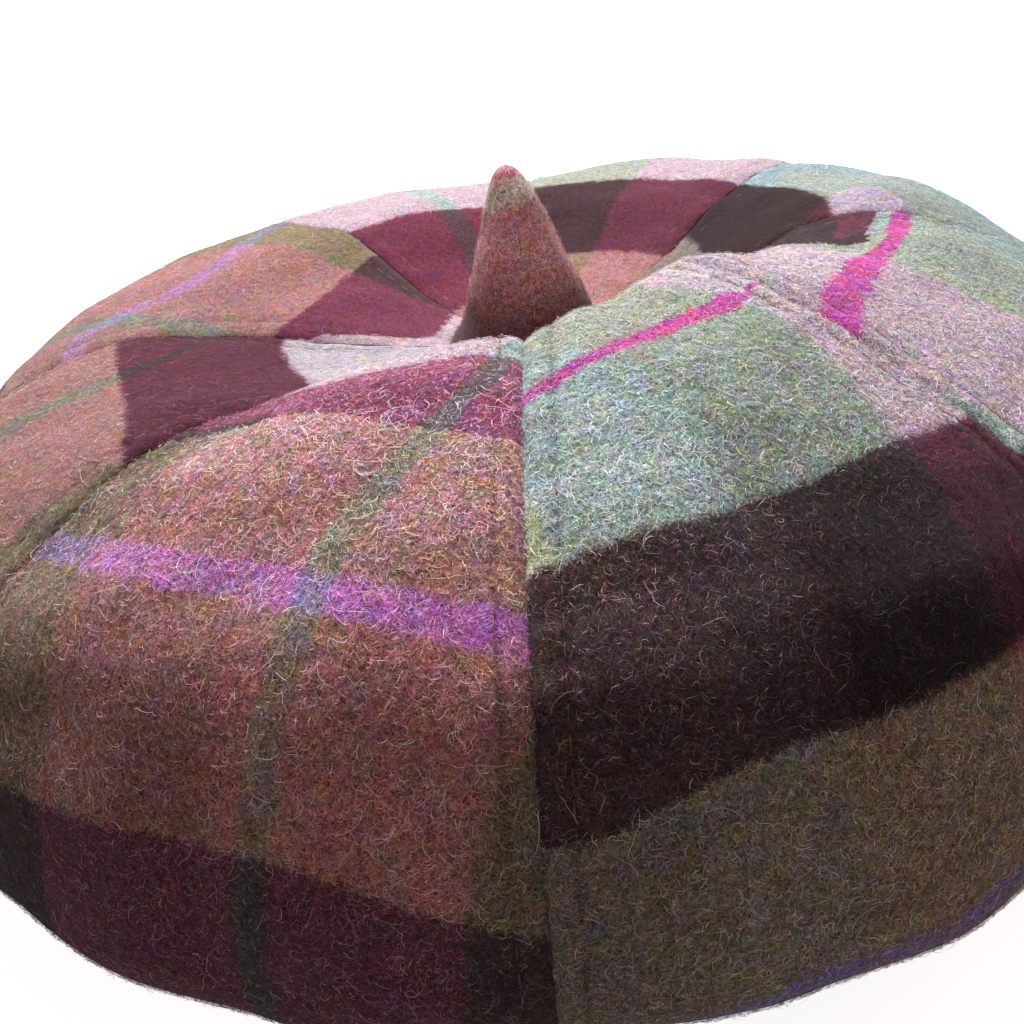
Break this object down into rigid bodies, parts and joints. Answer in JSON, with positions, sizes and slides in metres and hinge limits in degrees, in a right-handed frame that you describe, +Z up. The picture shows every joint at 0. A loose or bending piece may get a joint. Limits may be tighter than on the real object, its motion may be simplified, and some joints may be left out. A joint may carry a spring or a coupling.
{
  "type": "tam o'shanter",
  "caption": "Puffy round tweed tam: a dished crown sewn from plaid gores, a small cloth stalk in the dish and a plain band round the head opening, worn on the head.",
  "frame": {"origin": "middle of the crown's outline, on the surface that the band stands on", "axes": "+Z up through the stalk, -Y towards the front seam, +X to the right seen from the front"},
  "size_m": [0.2876, 0.2822, 0.1235],
  "materials": {
    "crown_tweed": "brushed wool tweed in a heathered plaid of tan, maroon, olive and sage with thin purple and magenta lines",
    "stalk_tweed": "the same brushed tweed, mostly rose-brown",
    "band_tweed": "the same tweed folded double, plain edge"
  },
  "bodies": {
    "root": {"gore_front_right": "crown_tweed", "gore_right": "crown_tweed", "gore_right_back": "crown_tweed", "gore_back_right": "crown_tweed", "gore_back_left": "crown_tweed", "gore_left_back": "crown_tweed", "gore_left": "crown_tweed", "gore_front_left": "crown_tweed", "stalk": "stalk_tweed", "head_band": "band_tweed"}
  },
  "joints": []
}
